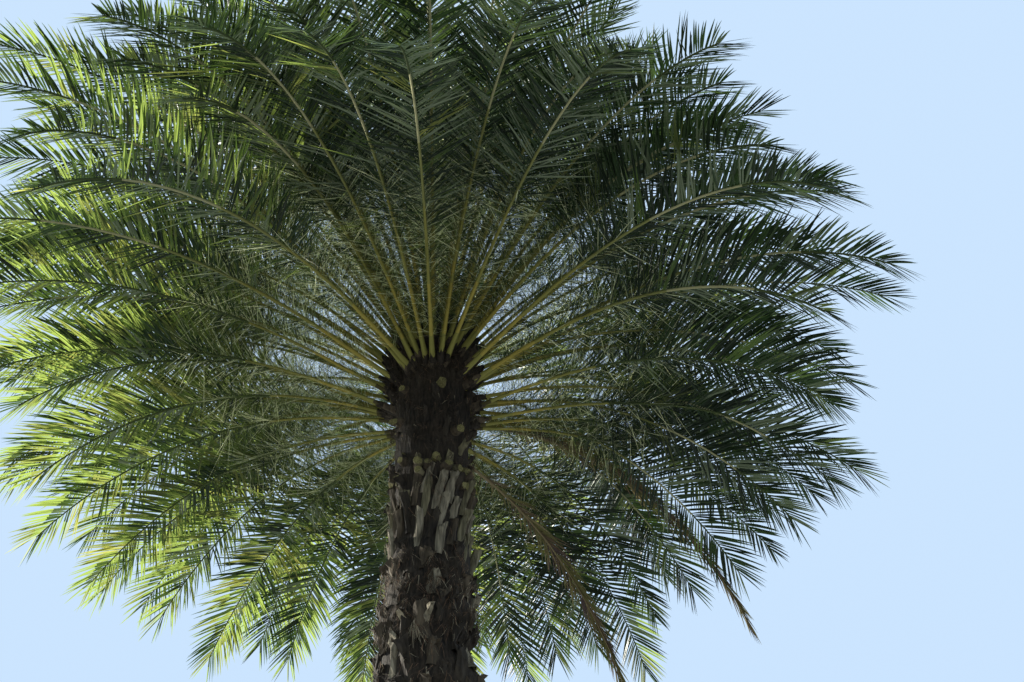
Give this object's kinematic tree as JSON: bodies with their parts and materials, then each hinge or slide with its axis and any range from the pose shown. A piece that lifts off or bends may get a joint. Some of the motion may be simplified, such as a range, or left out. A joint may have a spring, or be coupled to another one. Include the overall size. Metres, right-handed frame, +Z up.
{
  "type": "date palm tree",
  "caption": "Grown date palm: one straight trunk with a flared foot and rough leaf stubs, under a full round crown of arching feather fronds.",
  "frame": {"origin": "middle of the flat cut under the trunk, at ground level", "axes": "+Z up along the trunk to the crown; the front is -Y, and +X is to the right seen from the front"},
  "size_m": [5.0628, 5.5646, 9.05],
  "materials": {
    "trunk_bark": "rough, fibrous",
    "frond_green": "satin leaf",
    "frond_young": "satin leaf",
    "frond_dry": "matt, dry"
  },
  "bodies": {
    "root": {"trunk": "trunk_bark", "young_fronds": "frond_young", "frond_dry_1": "frond_dry", "frond_dry_2": "frond_dry", "frond_lowest_01": "frond_green", "frond_lowest_02": "frond_green", "frond_lowest_03": "frond_green", "frond_lowest_04": "frond_green", "frond_lowest_05": "frond_green", "frond_lowest_06": "frond_green", "frond_lowest_07": "frond_green", "frond_lowest_08": "frond_green", "frond_lowest_09": "frond_green", "frond_lowest_10": "frond_green", "frond_lowest_11": "frond_green", "frond_lowest_12": "frond_green", "frond_lowest_13": "frond_green", "frond_lowest_14": "frond_green", "frond_lowest_15": "frond_green", "frond_lowest_16": "frond_green", "frond_low_01": "frond_green", "frond_low_02": "frond_green", "frond_low_03": "frond_green", "frond_low_04": "frond_green", "frond_low_05": "frond_green", "frond_low_06": "frond_green", "frond_low_07": "frond_green", "frond_low_08": "frond_green", "frond_low_09": "frond_green", "frond_low_10": "frond_green", "frond_low_11": "frond_green", "frond_low_12": "frond_green", "frond_low_13": "frond_green", "frond_low_14": "frond_green", "frond_low_15": "frond_green", "frond_low_16": "frond_green", "frond_spreading_01": "frond_green", "frond_spreading_02": "frond_green", "frond_spreading_03": "frond_green", "frond_spreading_04": "frond_green", "frond_spreading_05": "frond_green", "frond_spreading_06": "frond_green", "frond_spreading_07": "frond_green", "frond_spreading_08": "frond_green", "frond_spreading_09": "frond_green", "frond_spreading_10": "frond_green", "frond_spreading_11": "frond_green", "frond_spreading_12": "frond_green", "frond_rising_01": "frond_green", "frond_rising_02": "frond_green", "frond_rising_03": "frond_green", "frond_rising_04": "frond_green", "frond_rising_05": "frond_green", "frond_rising_06": "frond_green", "frond_rising_07": "frond_green", "frond_rising_08": "frond_green", "frond_inner_01": "frond_green", "frond_inner_02": "frond_green", "frond_inner_03": "frond_green", "frond_inner_04": "frond_green"}
  },
  "joints": []
}
